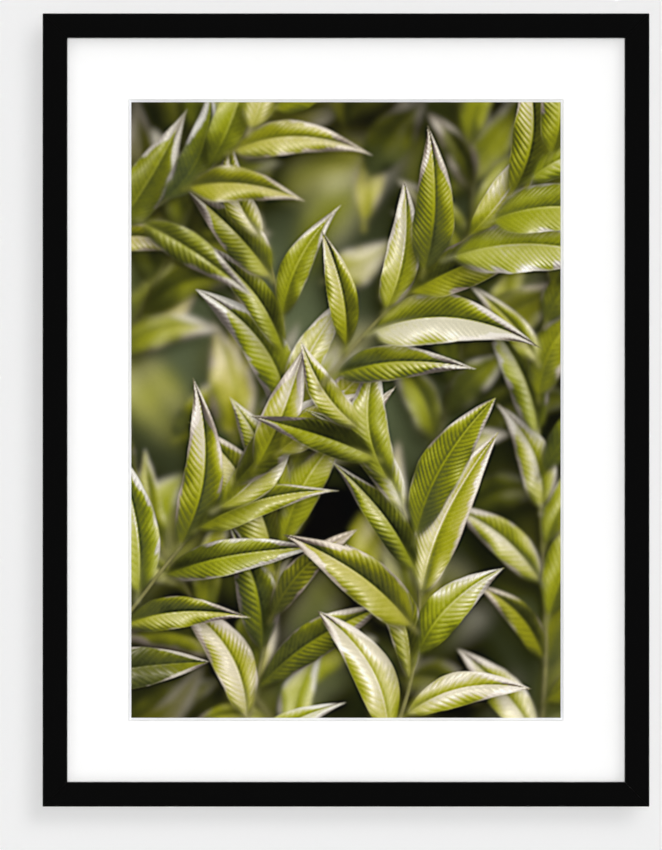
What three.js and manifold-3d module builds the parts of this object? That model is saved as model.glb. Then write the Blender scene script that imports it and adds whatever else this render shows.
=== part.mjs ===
// A framed print under glass: a flat black wooden frame, a white bevelled window mat and the print in it.
// Millimetres, +Z up, +X to the right as seen from the front. The picture faces -Y, and the wall is the
// plane y = 0. The origin is where the wall nail bears: under the hanger's middle notch, at the wall.
import * as THREE from "three";
import { mergeVertices } from "three/addons/utils/BufferGeometryUtils.js";
import Module from "manifold-3d";

// Picture and mat. The opening is measured at the top edge of the bevel.
const OPENING_WIDTH = 355.6; // 14 in
const OPENING_HEIGHT = 508; // 20 in
const MAT_BORDER = 50; // mat that shows between the opening and the frame
const MAT_THICK = 2.2; // six-ply board, its opening cut at 45 degrees
const PRINT_MARGIN = 7; // print that runs on behind the mat
const PRINT_THICK = 0.5;

// Moulding: a flat face, and a rabbet cut into the back of its inner edge.
const FACE_WIDTH = 20;
const RAIL_DEPTH = 25;
const LIP_WIDTH = 6;
const LIP_DEPTH = 12; // a deep lip, which sets the glass well back from the face
const ARRIS_RADIUS = 0.7;
const BACK_CHAMFER = 0.6;
const MITRE_GAP = 0.05; // taken off each end of a rail, along it

// What lies in the rabbet, and the air left between one layer and the next.
const GLASS_THICK = 2;
const MOUNT_BOARD_THICK = 3;
const BACK_BOARD_THICK = 2.5;
const LAYER_GAP = 0.2;
const RABBET_CLEARANCE = 0.8; // all round the glass and the boards

// Fixings.
const FIT_GAP = 0.15; // round whatever is driven into the wood
const TAB = { length: 22, width: 9, thick: 0.5, driven: 8, nose: 3 };
const TABS_ON_SHORT_RAIL = 3;
const TABS_ON_LONG_RAIL = 4;
const V_NAIL = { wing: 6.5, thick: 0.8, depth: 10, sunk: 0.3 };
const V_NAIL_INSETS = [3.2, 7.4]; // of each point from both outer edges
const HANGER = { length: 56, height: 10, thick: 1, foot: 10, ramp: 2.5, rise: 1.6, corner: 2 };
const TOOTH = { pitch: 3.4, depth: 1.2, count: 9 };
const NAIL = { shank: 0.9, head: 2.4, dome: 0.9, length: 12, point: 2 }; // shank and head are radii
const BUMPER = { radius: 5, thick: 3, round: 1, inset: 45 }; // inset from the corner, along the rail
const ROUND_SIDES = 24;

// Worked out from the above.
const SIGHT_WIDTH = OPENING_WIDTH + 2 * MAT_BORDER;
const SIGHT_HEIGHT = OPENING_HEIGHT + 2 * MAT_BORDER;
const FRAME_WIDTH = SIGHT_WIDTH + 2 * FACE_WIDTH;
const FRAME_HEIGHT = SIGHT_HEIGHT + 2 * FACE_WIDTH;
const RABBET_AT = FACE_WIDTH - LIP_WIDTH; // from a rail's outer edge
const PACK_WIDTH = SIGHT_WIDTH + 2 * (LIP_WIDTH - RABBET_CLEARANCE);
const PACK_HEIGHT = SIGHT_HEIGHT + 2 * (LIP_WIDTH - RABBET_CLEARANCE);

const BACK_Y = -BUMPER.thick; // the rails' back faces
const FRONT_Y = BACK_Y - RAIL_DEPTH;
const GLASS_Y = FRONT_Y + LIP_DEPTH + LAYER_GAP; // front faces of the layers, one behind another
const MAT_Y = GLASS_Y + GLASS_THICK + LAYER_GAP;
const PRINT_Y = MAT_Y + MAT_THICK + LAYER_GAP;
const MOUNT_BOARD_Y = PRINT_Y + PRINT_THICK + LAYER_GAP;
const BACK_BOARD_Y = MOUNT_BOARD_Y + MOUNT_BOARD_THICK + LAYER_GAP;
const TAB_Y = BACK_BOARD_Y + BACK_BOARD_THICK + LAYER_GAP;
const HANGER_Y = BACK_Y + LAYER_GAP;
const NAIL_HEAD_Y = HANGER_Y + HANGER.thick + LAYER_GAP / 2;

const HANGER_TOP_Z = HANGER.height - TOOTH.depth; // the notches reach up to z = 0
const TOP_Z = HANGER_TOP_Z + (RABBET_AT - HANGER.height) / 2 + LAYER_GAP;
const MIDDLE_Z = TOP_Z - FRAME_HEIGHT / 2;
const NAIL_X = (HANGER.length - HANGER.foot) / 2;
const NAIL_Z = HANGER_TOP_Z - HANGER.height / 2;

const wasm = await Module();
wasm.setup();

const finish = (color, roughness, metalness = 0, more = {}) =>
  new THREE.MeshStandardMaterial({ color, roughness, metalness, ...more });
const blackLacquer = finish("#0e0e0e", 0.38);
const clearGlass = finish("#f4faf7", 0.04, 0, { transparent: true, opacity: 0.12 });
const matBoard = finish("#fbfbf9", 0.9);
const printPaper = finish("#77763f", 0.55);
const foamBoard = finish("#f2f1ec", 0.85);
const hardboard = finish("#6f4c30", 0.7);
const zincSteel = finish("#b9bcc0", 0.35, 0.9);
const clearRubber = finish("#d9d7d0", 0.6);

const framedPrint = new THREE.Group();

// Adds one named piece to its parent.
function piece(name, geometry, material, parent = framedPrint) {
  const mesh = new THREE.Mesh(geometry, material);
  mesh.name = name;
  parent.add(mesh);
  return mesh;
}

// A geometry as a solid that can be cut, and the solid as a geometry again.
function solid(geometry) {
  const bare = new THREE.BufferGeometry();
  bare.setAttribute("position", geometry.getAttribute("position"));
  bare.setIndex(geometry.index);
  const merged = mergeVertices(bare, 1e-4);
  return new wasm.Manifold(
    new wasm.Mesh({
      numProp: 3,
      vertProperties: new Float32Array(merged.getAttribute("position").array),
      triVerts: new Uint32Array(merged.index.array),
    }),
  );
}

function geometryOf(made) {
  const { vertProperties, triVerts } = made.getMesh();
  const geometry = new THREE.BufferGeometry();
  geometry.setAttribute("position", new THREE.BufferAttribute(vertProperties, 3));
  geometry.setIndex(new THREE.BufferAttribute(triVerts, 1));
  geometry.computeVertexNormals();
  return geometry;
}

// An outline drawn in x and z, made solid from y = front to y = back.
function plate(outline, front, back) {
  const depth = back - front;
  return new THREE.ExtrudeGeometry(outline, { depth, bevelEnabled: false, curveSegments: 6 })
    .rotateX(Math.PI / 2)
    .translate(0, back, 0);
}

// A box between two depths, centred on x = 0 and z = 0.
function sheet(width, height, front, thick) {
  return new THREE.BoxGeometry(width, thick, height).translate(0, front + thick / 2, 0);
}

// A round peg along y, between two depths.
function peg(radius, front, back) {
  const profile = [[0, front], [radius, front], [radius, back], [0, back]];
  return new THREE.LatheGeometry(profile.map(([r, y]) => new THREE.Vector2(r, y)), ROUND_SIDES);
}

// --- Rails -------------------------------------------------------------------------------------------
// Every rail is shaped lying as the bottom one does: x along it, y in depth, z inwards from its outer edge.

// The moulding's section, as (inwards, depth).
function mouldingSection() {
  const section = new THREE.Shape();
  const front = FRONT_Y + ARRIS_RADIUS;
  section.moveTo(0, front);
  section.absarc(ARRIS_RADIUS, front, ARRIS_RADIUS, Math.PI, 1.5 * Math.PI, false);
  section.absarc(FACE_WIDTH - ARRIS_RADIUS, front, ARRIS_RADIUS, 1.5 * Math.PI, 2 * Math.PI, false);
  section.lineTo(FACE_WIDTH, FRONT_Y + LIP_DEPTH);
  section.lineTo(RABBET_AT, FRONT_Y + LIP_DEPTH);
  section.lineTo(RABBET_AT, BACK_Y);
  section.lineTo(BACK_CHAMFER, BACK_Y);
  section.lineTo(0, BACK_Y - BACK_CHAMFER);
  return section;
}

// The section carried from mitre to mitre: the further in a point lies, the shorter its run.
function mitred(length) {
  const rail = new THREE.ExtrudeGeometry(mouldingSection(), {
    depth: 1,
    bevelEnabled: false,
    curveSegments: 4,
  });
  const at = rail.getAttribute("position");
  for (let i = 0; i < at.count; i++) {
    const inwards = at.getX(i);
    const end = at.getZ(i) > 0.5 ? -1 : 1;
    at.setXYZ(i, end * (length / 2 - inwards - MITRE_GAP), at.getY(i), inwards);
  }
  return solid(rail);
}

// Where the retaining tabs come through a rail, evenly spaced along it.
function tabPlaces(length, count) {
  return Array.from({ length: count }, (_, i) => ((i + 0.5) / count - 0.5) * length);
}

function tabSlot(along) {
  const mouth = 1; // runs out past the rabbet's wall
  const deep = TAB.driven + FIT_GAP + mouth;
  const slot = new THREE.BoxGeometry(TAB.width + 2 * FIT_GAP, TAB.thick + 2 * FIT_GAP, deep);
  return solid(slot.translate(along, TAB_Y + TAB.thick / 2, RABBET_AT + mouth - deep / 2));
}

// A V-nail as it lies at the bottom left corner: its point on the mitre and a wing in each rail.
// `grow` makes it larger all round, for the slot that it is driven into.
function vNail(grow = 0) {
  const out = -V_NAIL.thick / 2 - grow;
  const inner = V_NAIL.thick / 2 + grow;
  const tip = V_NAIL.wing + grow;
  const wings = [[out, out], [tip, out], [tip, inner], [inner, inner], [inner, tip], [out, tip]];
  const outline = new THREE.Shape(wings.map(([x, z]) => new THREE.Vector2(x, z)));
  const back = BACK_Y + (grow ? 1 : -V_NAIL.sunk);
  return plate(outline, BACK_Y - V_NAIL.sunk - V_NAIL.depth - grow, back);
}

// The V-nail slots at both ends of a rail. A quarter turn brings the left-hand nail to the right end.
function vNailSlots(length) {
  return V_NAIL_INSETS.flatMap((inset) => [
    solid(vNail(FIT_GAP).translate(inset - length / 2, 0, inset)),
    solid(vNail(FIT_GAP).rotateY(-Math.PI / 2).translate(length / 2 - inset, 0, inset)),
  ]);
}

function nailHole(along) {
  const hole = peg(NAIL.shank + FIT_GAP, NAIL_HEAD_Y - NAIL.length - FIT_GAP, BACK_Y + 1);
  return solid(hole.translate(along, 0, TOP_Z - NAIL_Z));
}

function rail(length, tabs, moreCuts = []) {
  const cuts = [...tabPlaces(length, tabs).map(tabSlot), ...vNailSlots(length), ...moreCuts];
  return geometryOf(cuts.reduce((wood, cut) => wood.subtract(cut), mitred(length)));
}

// The four sides: each group stands at the middle of a rail's outer edge, turned so that +Z points inwards.
const SIDES = [
  { name: "bottom", x: 0, z: MIDDLE_Z - FRAME_HEIGHT / 2, turn: 0, long: false },
  { name: "left", x: -FRAME_WIDTH / 2, z: MIDDLE_Z, turn: Math.PI / 2, long: true },
  { name: "top", x: 0, z: TOP_Z, turn: Math.PI, long: false },
  { name: "right", x: FRAME_WIDTH / 2, z: MIDDLE_Z, turn: -Math.PI / 2, long: true },
];

// --- Retaining tabs: flat spring-steel points that hold the boards in the rabbet -----------------------
function tab() {
  const inner = RABBET_AT - TAB.driven;
  const end = inner + TAB.length;
  const half = TAB.width / 2;
  const outline = new THREE.Shape();
  outline.moveTo(-half / 3, inner);
  outline.lineTo(half / 3, inner);
  outline.lineTo(half, inner + TAB.nose);
  outline.lineTo(half, end - half);
  outline.absarc(0, end - half, half, 0, Math.PI, false);
  outline.lineTo(-half, inner + TAB.nose);
  return plate(outline, TAB_Y, TAB_Y + TAB.thick);
}

for (const side of SIDES) {
  const length = side.long ? FRAME_HEIGHT : FRAME_WIDTH;
  const tabs = side.long ? TABS_ON_LONG_RAIL : TABS_ON_SHORT_RAIL;
  const group = new THREE.Group();
  group.position.set(side.x, 0, side.z);
  group.rotation.y = side.turn;
  framedPrint.add(group);
  const nailHoles = side.name === "top" ? [nailHole(-NAIL_X), nailHole(NAIL_X)] : [];
  piece(`rail_${side.name}`, rail(length, tabs, nailHoles), blackLacquer, group);
  tabPlaces(length, tabs).forEach((along, i) => {
    piece(`tab_${side.name}_${i + 1}`, tab(), zincSteel, group).position.x = along;
  });
}

// --- V-nails: pressed across the mitres from behind ---------------------------------------------------
const CORNERS = [
  { name: "bottom_left", x: -1, z: -1, turn: 0 },
  { name: "top_left", x: -1, z: 1, turn: Math.PI / 2 },
  { name: "top_right", x: 1, z: 1, turn: Math.PI },
  { name: "bottom_right", x: 1, z: -1, turn: -Math.PI / 2 },
];
for (const corner of CORNERS) {
  const group = new THREE.Group();
  group.position.set((corner.x * FRAME_WIDTH) / 2, 0, MIDDLE_Z + (corner.z * FRAME_HEIGHT) / 2);
  group.rotation.y = corner.turn;
  framedPrint.add(group);
  V_NAIL_INSETS.forEach((inset, i) => {
    piece(`v_nail_${corner.name}_${i + 1}`, vNail(), zincSteel, group).position.set(inset, 0, inset);
  });
}

// --- Picture package: glass, window mat, print, mount board and back board -------------------------------
// The mat's opening is a frustum that runs on past both faces, so it is one unit larger per unit of depth.
function windowMat() {
  const past = 1;
  const board = solid(sheet(PACK_WIDTH, PACK_HEIGHT, MAT_Y, MAT_THICK));
  const cutter = sheet(OPENING_WIDTH, OPENING_HEIGHT, MAT_Y - past, MAT_THICK + 2 * past);
  const at = cutter.getAttribute("position");
  for (let i = 0; i < at.count; i++) {
    const inset = at.getY(i) - MAT_Y;
    at.setX(i, at.getX(i) - Math.sign(at.getX(i)) * inset);
    at.setZ(i, at.getZ(i) - Math.sign(at.getZ(i)) * inset);
  }
  return geometryOf(board.subtract(solid(cutter)));
}

const pack = new THREE.Group();
pack.position.z = MIDDLE_Z;
framedPrint.add(pack);
piece("glazing", sheet(PACK_WIDTH, PACK_HEIGHT, GLASS_Y, GLASS_THICK), clearGlass, pack);
piece("window_mat", windowMat(), matBoard, pack);
piece(
  "print_sheet",
  sheet(OPENING_WIDTH + 2 * PRINT_MARGIN, OPENING_HEIGHT + 2 * PRINT_MARGIN, PRINT_Y, PRINT_THICK),
  printPaper,
  pack,
);
piece("mount_board", sheet(PACK_WIDTH, PACK_HEIGHT, MOUNT_BOARD_Y, MOUNT_BOARD_THICK), foamBoard, pack);
piece("back_board", sheet(PACK_WIDTH, PACK_HEIGHT, BACK_BOARD_Y, BACK_BOARD_THICK), hardboard, pack);

// --- Sawtooth hanger: a bent steel strip, its feet nailed to the top rail and its middle standing clear --
// The bend, as (x, y): foot, ramp, raised middle, ramp, foot, as thick round the bends as elsewhere.
function bentStrip() {
  const half = HANGER.length / 2;
  const foot = half - HANGER.foot;
  const raised = foot - HANGER.ramp;
  const lean = HANGER.thick * Math.tan(Math.atan2(HANGER.rise, HANGER.ramp) / 2);
  const front = [[half, 0], [foot, 0], [raised, HANGER.rise]];
  const back = [[half, 0], [foot + lean, 0], [raised + lean, HANGER.rise]];
  const line = (points, lift) => [
    ...points.map(([x, y]) => new THREE.Vector2(-x, HANGER_Y + y + lift)),
    ...points.toReversed().map(([x, y]) => new THREE.Vector2(x, HANGER_Y + y + lift)),
  ];
  const bend = new THREE.Shape([...line(front, 0), ...line(back, HANGER.thick).toReversed()]);
  const tall = HANGER.height + 2;
  return new THREE.ExtrudeGeometry(bend, { depth: tall, bevelEnabled: false })
    .translate(0, 0, HANGER_TOP_Z + 1 - tall);
}

// Its outline in x and z: round corners, a row of notches along the lower edge, and a hole in each foot.
function hangerOutline() {
  const half = HANGER.length / 2;
  const round = HANGER.corner;
  const low = HANGER_TOP_Z - HANGER.height;
  const outline = new THREE.Shape();
  outline.moveTo(-half + round, low);
  for (let i = 0; i < TOOTH.count; i++) {
    const notch = (i - (TOOTH.count - 1) / 2) * TOOTH.pitch;
    outline.lineTo(notch - TOOTH.pitch / 2, low);
    outline.lineTo(notch, low + TOOTH.depth);
  }
  outline.lineTo((TOOTH.count / 2) * TOOTH.pitch, low);
  outline.lineTo(half - round, low);
  outline.absarc(half - round, low + round, round, -Math.PI / 2, 0, false);
  outline.absarc(half - round, HANGER_TOP_Z - round, round, 0, Math.PI / 2, false);
  outline.absarc(-half + round, HANGER_TOP_Z - round, round, Math.PI / 2, Math.PI, false);
  outline.absarc(-half + round, low + round, round, Math.PI, 1.5 * Math.PI, false);
  for (const x of [-NAIL_X, NAIL_X]) {
    const hole = new THREE.Path();
    hole.absarc(x, NAIL_Z, NAIL.shank + FIT_GAP, 0, 2 * Math.PI, true);
    outline.holes.push(hole);
  }
  return outline;
}

function hanger() {
  const blank = plate(hangerOutline(), HANGER_Y - 1, HANGER_Y + HANGER.rise + HANGER.thick + 1);
  return geometryOf(solid(bentStrip()).intersect(solid(blank)));
}
piece("sawtooth_hanger", hanger(), zincSteel);

// A domed nail: its underside bears on the hanger's foot.
function hangerNail() {
  const dome = new THREE.EllipseCurve(0, NAIL_HEAD_Y, NAIL.head, NAIL.dome, 0, Math.PI / 2);
  const tip = NAIL_HEAD_Y - NAIL.length;
  const profile = [
    new THREE.Vector2(0, tip),
    new THREE.Vector2(NAIL.shank, tip + NAIL.point),
    new THREE.Vector2(NAIL.shank, NAIL_HEAD_Y),
    ...dome.getPoints(4).slice(0, -1),
    new THREE.Vector2(0, NAIL_HEAD_Y + NAIL.dome),
  ];
  return new THREE.LatheGeometry(profile, ROUND_SIDES);
}
piece("hanger_nail_left", hangerNail(), zincSteel).position.set(-NAIL_X, 0, NAIL_Z);
piece("hanger_nail_right", hangerNail(), zincSteel).position.set(NAIL_X, 0, NAIL_Z);

// --- Bumpers: four soft pads that keep the rails off the wall -------------------------------------------
function bumper() {
  const { radius, round } = BUMPER;
  const front = BACK_Y + LAYER_GAP;
  const edge = new THREE.EllipseCurve(radius - round, -round, round, round, 0, Math.PI / 2);
  const profile = [
    new THREE.Vector2(0, front),
    new THREE.Vector2(radius, front),
    ...edge.getPoints(4),
    new THREE.Vector2(0, 0),
  ];
  return new THREE.LatheGeometry(profile, ROUND_SIDES);
}
for (const corner of CORNERS) {
  piece(`bumper_${corner.name}`, bumper(), clearRubber).position.set(
    corner.x * (FRAME_WIDTH / 2 - BUMPER.inset),
    0,
    MIDDLE_Z + corner.z * (FRAME_HEIGHT / 2 - RABBET_AT / 2),
  );
}

export default framedPrint;
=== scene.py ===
from math import radians

import bpy
import numpy as np
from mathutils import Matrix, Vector


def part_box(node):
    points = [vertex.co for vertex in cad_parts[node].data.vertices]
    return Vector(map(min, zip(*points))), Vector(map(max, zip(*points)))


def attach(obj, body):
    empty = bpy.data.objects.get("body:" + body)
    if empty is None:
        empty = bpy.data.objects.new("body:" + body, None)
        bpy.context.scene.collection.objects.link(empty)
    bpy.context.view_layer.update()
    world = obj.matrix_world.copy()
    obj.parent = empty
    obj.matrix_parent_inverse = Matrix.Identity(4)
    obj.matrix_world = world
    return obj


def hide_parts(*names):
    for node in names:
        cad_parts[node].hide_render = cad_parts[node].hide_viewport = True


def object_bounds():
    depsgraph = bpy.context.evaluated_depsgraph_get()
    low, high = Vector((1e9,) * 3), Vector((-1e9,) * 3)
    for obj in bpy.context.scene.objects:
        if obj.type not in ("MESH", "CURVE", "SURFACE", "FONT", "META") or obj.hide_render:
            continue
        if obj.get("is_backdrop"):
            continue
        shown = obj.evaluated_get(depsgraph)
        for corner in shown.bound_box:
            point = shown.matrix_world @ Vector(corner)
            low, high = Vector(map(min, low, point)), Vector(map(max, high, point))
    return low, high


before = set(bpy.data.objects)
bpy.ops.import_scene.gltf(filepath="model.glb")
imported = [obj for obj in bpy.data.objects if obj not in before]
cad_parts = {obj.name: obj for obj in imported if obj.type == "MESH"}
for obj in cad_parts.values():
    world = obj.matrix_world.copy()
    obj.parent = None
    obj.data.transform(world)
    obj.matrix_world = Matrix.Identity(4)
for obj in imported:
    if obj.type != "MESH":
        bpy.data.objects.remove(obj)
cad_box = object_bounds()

# --- Rails ------------------------------------------------------------------------------------------
# Four lengths of flat moulding in pale obeche wood, mitred, glued and V-nailed, then sprayed satin black,
# so that the pores show only as faint lines. The back face is bare, with overspray along its outer edge,
# and so is the strip of the rabbet's wall beside it, which the spray didn't reach.
MM = 0.001


def linear(colour):
    """An sRGB hex colour as linear RGBA: each channel through the sRGB curve."""
    srgb = np.array([int(colour[i:i + 2], 16) for i in (0, 2, 4)]) / 255
    low = srgb / 12.92
    high = ((srgb + 0.055) / 1.055) ** 2.4
    return (*np.where(srgb <= 0.04045, low, high).tolist(), 1.0)


def add(tree, kind, inputs=None, **settings):
    """Adds a node of that kind with its settings; each input is a value or another node's output."""
    made = tree.nodes.new("ShaderNode" + kind)
    for name, value in settings.items():
        setattr(made, name, value)
    for key, value in (inputs or {}).items():
        if isinstance(value, bpy.types.NodeSocket):
            tree.links.new(value, made.inputs[key])
        else:
            made.inputs[key].default_value = value
    return made


def new_material(name):
    """A material with an empty node tree, and that tree."""
    material = bpy.data.materials.new(name)
    material.use_nodes = True
    material.node_tree.nodes.clear()
    return material, material.node_tree


def cover(piece, material):
    """Gives a piece that material alone."""
    piece.data.materials.clear()
    piece.data.materials.append(material)


frame_low, frame_high = (Vector(corner) for corner in cad_box)
frame_middle = (frame_low + frame_high) / 2
half_height = frame_high.z - frame_middle.z
rails_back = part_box("rail_left")[1].y

GRAIN_LENGTH = 24  # mm along the rail
GRAIN_WIDTH = 0.5  # mm across it, the coarsest pores of obeche
BANDING = 0.12  # how close the growth bands lie, against the pores
PORE_DEPTH = 0.03  # mm left showing under the lacquer
RIPPLE = (1.6, 0.01)  # mm across and deep, the orange peel of sprayed lacquer
OVERSPRAY = (0.8, 3.6)  # mm from the outer edge, over which the black on the back face thins out
RAGGED = 2.5  # mm, by how much its edge wanders, and over what length
RABBET = 14  # mm from the outer edge to the rabbet's wall
UNSPRAYED = 2.4  # mm of that wall, beside the back face
HAIR = 0.05  # mm, a margin that puts a face clearly on one side of a limit


def lacquered_wood(name, lengthwise):
    """Satin black over open-pored wood, bare where it wasn't sprayed.

    Noise drawn out along one axis gives the pores, and the same drawn larger gives the growth bands. The
    distance from the outer edge, with some noise added, says where on the back face the black thins out.
    """
    material, tree = new_material(name)
    place = add(tree, "TexCoord").outputs["Object"]
    size = [GRAIN_WIDTH * MM] * 3
    size[lengthwise] = GRAIN_LENGTH * MM
    run = add(tree, "Mapping", {"Vector": place, "Scale": [1 / s for s in size]})
    pores = add(tree, "TexNoise", {"Vector": run.outputs[0], "Scale": 1, "Detail": 3, "Roughness": 0.6})
    run = add(tree, "Mapping", {"Vector": place, "Scale": [BANDING / s for s in size]})
    bands = add(tree, "TexNoise", {"Vector": run.outputs[0], "Scale": 1, "Detail": 2})
    black = add(tree, "MixRGB", {"Fac": pores.outputs[0], "Color1": linear("030303"),
                                 "Color2": linear("060606")})
    bare = add(tree, "MixRGB", {"Fac": pores.outputs[0], "Color1": linear("a98655"),
                                "Color2": linear("dcc197")})
    tint = add(tree, "MapRange", {"Value": bands.outputs[0], "From Min": 0.35, "From Max": 0.7,
                                  "To Min": 0.78, "To Max": 1.05})
    wood = add(tree, "MixRGB", {"Fac": 1, "Color1": bare.outputs[0], "Color2": tint.outputs[0]},
               blend_type="MULTIPLY")

    at = add(tree, "SeparateXYZ", {"Vector": place})
    from_side = add(tree, "Math", {0: at.outputs["X"]}, operation="ABSOLUTE")
    from_side = add(tree, "Math", {0: frame_high.x, 1: from_side.outputs[0]}, operation="SUBTRACT")
    from_end = add(tree, "Math", {0: at.outputs["Z"], 1: frame_middle.z}, operation="SUBTRACT")
    from_end = add(tree, "Math", {0: from_end.outputs[0]}, operation="ABSOLUTE")
    from_end = add(tree, "Math", {0: half_height, 1: from_end.outputs[0]}, operation="SUBTRACT")
    inset = add(tree, "Math", {0: from_side.outputs[0], 1: from_end.outputs[0]}, operation="MINIMUM")
    mist = add(tree, "TexNoise", {"Vector": place, "Scale": 1 / (RAGGED * MM), "Detail": 4,
                                  "Roughness": 0.7})
    drift = add(tree, "MapRange", {"Value": mist.outputs[0], "To Min": -RAGGED * MM, "To Max": RAGGED * MM})
    ragged = add(tree, "Math", {0: inset.outputs[0], 1: drift.outputs[0]}, operation="ADD")
    thinned = add(tree, "MapRange", {"Value": ragged.outputs[0], "From Min": OVERSPRAY[0] * MM,
                                     "From Max": OVERSPRAY[1] * MM}, interpolation_type="SMOOTHSTEP")
    behind = add(tree, "Math", {0: at.outputs["Y"], 1: rails_back - HAIR * MM}, operation="GREATER_THAN")
    unpainted = add(tree, "Math", {0: thinned.outputs[0], 1: behind.outputs[0]}, operation="MULTIPLY")
    inner = add(tree, "Math", {0: inset.outputs[0], 1: (RABBET - HAIR) * MM}, operation="GREATER_THAN")
    deeper = add(tree, "Math", {0: at.outputs["Y"], 1: rails_back - UNSPRAYED * MM}, operation="GREATER_THAN")
    in_rabbet = add(tree, "Math", {0: inner.outputs[0], 1: deeper.outputs[0]}, operation="MULTIPLY")
    unpainted = add(tree, "Math", {0: unpainted.outputs[0], 1: in_rabbet.outputs[0]}, operation="MAXIMUM")

    colour = add(tree, "MixRGB", {"Fac": unpainted.outputs[0], "Color1": black.outputs[0],
                                  "Color2": wood.outputs[0]})
    orange_peel = add(tree, "TexNoise", {"Vector": place, "Scale": 1 / (RIPPLE[0] * MM), "Detail": 2})
    satin = add(tree, "MapRange", {"Value": orange_peel.outputs[0], "To Min": 0.30, "To Max": 0.40})
    roughness = add(tree, "MixRGB", {"Fac": unpainted.outputs[0], "Color1": satin.outputs[0],
                                     "Color2": (0.75, 0.75, 0.75, 1)})
    relief = add(tree, "Bump", {"Height": pores.outputs[0], "Distance": PORE_DEPTH * MM, "Strength": 0.6})
    relief = add(tree, "Bump", {"Height": orange_peel.outputs[0], "Normal": relief.outputs[0],
                                "Distance": RIPPLE[1] * MM, "Strength": 0.6})
    shader = add(tree, "BsdfPrincipled", {"Base Color": colour.outputs[0], "Roughness": roughness.outputs[0],
                                          "Normal": relief.outputs[0], "Specular IOR Level": 0.32})
    add(tree, "OutputMaterial", {"Surface": shader.outputs[0]})
    return material


lying = lacquered_wood("satin_black_on_obeche_lying", 0)
upright = lacquered_wood("satin_black_on_obeche_upright", 2)
for side, material in {"top": lying, "bottom": lying, "left": upright, "right": upright}.items():
    cover(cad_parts["rail_" + side], material)

# --- Glazing ----------------------------------------------------------------------------------------
# A pane of 2 mm picture glass behind the rails' lip, held only by the pack behind it. Its coating sends
# back about 1% of the light at each face, so it is nearly unseen from the front and mirrors aslant.
FACE_REFLECTION = 0.008
SLANT_POWER = 5  # of Schlick's rule for how reflection grows as the view slants
material, tree = new_material("coated_picture_glass")
aslant = add(tree, "LayerWeight", {"Blend": 0.5}).outputs["Facing"]
steep = add(tree, "Math", {0: aslant, 1: SLANT_POWER}, operation="POWER")
share = add(tree, "Math", {0: steep.outputs[0], 1: 1 - FACE_REFLECTION, 2: FACE_REFLECTION},
            operation="MULTIPLY_ADD")
through = add(tree, "BsdfTransparent", {"Color": (0.989, 0.991, 0.990, 1)})
mirror = add(tree, "BsdfGlossy", {"Color": (1, 1, 1, 1), "Roughness": 0.0})
pane = add(tree, "MixShader", {0: share.outputs[0], 1: through.outputs[0], 2: mirror.outputs[0]})
add(tree, "OutputMaterial", {"Surface": pane.outputs[0]})
cover(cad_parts["glazing"], material)

# --- Window mat -------------------------------------------------------------------------------------
# Six-ply white cotton board, its opening cut by a bevel cutter at 45 degrees. The facing paper has a
# fine felt texture and shows its own cut edge as a thin grey line; the core under it is a purer white.
FACING_PAPER = 0.32  # mm thick
CUT_START = (0.02, 0.04)  # mm below the face, where its cut edge begins
CORE_START = 0.1  # mm over which the core takes over from the facing paper
FELT = (0.9, 0.03)  # mm across and deep, the felt marks, drawn coarser than the real 0.5 so that they show
CLOUDS = 60  # mm across, the slight cloudiness of the pulp

mat_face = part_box("window_mat")[0].y
material, tree = new_material("white_cotton_mat_board")
place = add(tree, "TexCoord").outputs["Object"]
felt = add(tree, "TexNoise", {"Vector": place, "Scale": 1 / (FELT[0] * MM), "Detail": 5, "Roughness": 0.65})
cloudy = add(tree, "TexNoise", {"Vector": place, "Scale": 1 / (CLOUDS * MM), "Detail": 2})
paper = add(tree, "MixRGB", {"Fac": felt.outputs[0], "Color1": linear("ecebeb"), "Color2": linear("f1f0f0")})
paper = add(tree, "MixRGB", {"Fac": cloudy.outputs[0], "Color1": paper.outputs[0],
                             "Color2": linear("efeeee")})
depth = add(tree, "SeparateXYZ", {"Vector": place}).outputs["Y"]
cut = add(tree, "MapRange", {"Value": depth, "From Min": mat_face + CUT_START[0] * MM,
                             "From Max": mat_face + CUT_START[1] * MM})
core = add(tree, "MapRange", {"Value": depth, "From Min": mat_face + FACING_PAPER * MM,
                              "From Max": mat_face + (FACING_PAPER + CORE_START) * MM})
edged = add(tree, "MixRGB", {"Fac": cut.outputs[0], "Color1": paper.outputs[0], "Color2": linear("c8c8c8")})
colour = add(tree, "MixRGB", {"Fac": core.outputs[0], "Color1": edged.outputs[0],
                              "Color2": linear("fafaff")})
relief = add(tree, "Bump", {"Height": felt.outputs[0], "Distance": FELT[1] * MM, "Strength": 0.5})
shader = add(tree, "BsdfPrincipled", {"Base Color": colour.outputs[0], "Roughness": 0.9,
                                      "Specular IOR Level": 0.2, "Normal": relief.outputs[0]})
add(tree, "OutputMaterial", {"Surface": shader.outputs[0]})
cover(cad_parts["window_mat"], material)

# --- Print ------------------------------------------------------------------------------------------
# A pigment print on lustre paper, hinged behind the mat: a close view of variegated foliage, sharp on
# the nearest sprays and soft before and behind them. The inks are one colour at each painted point of
# the sheet, worked out below leaf by leaf, and the sheet is meshed as four quarters, edge to edge.
CELL = 0.72  # mm between painted points
sheet_low, sheet_high = (np.array(corner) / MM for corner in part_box("print_sheet"))
sheet_middle = (sheet_low + sheet_high) / 2
sheet_size = sheet_high - sheet_low
columns, rows = (2 * int(np.ceil(sheet_size[axis] / 2 / CELL)) for axis in (0, 2))
across = np.linspace(-0.5, 0.5, columns + 1) * sheet_size[0]
up = np.linspace(-0.5, 0.5, rows + 1) * sheet_size[2]
chance = np.random.default_rng(47)

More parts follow.
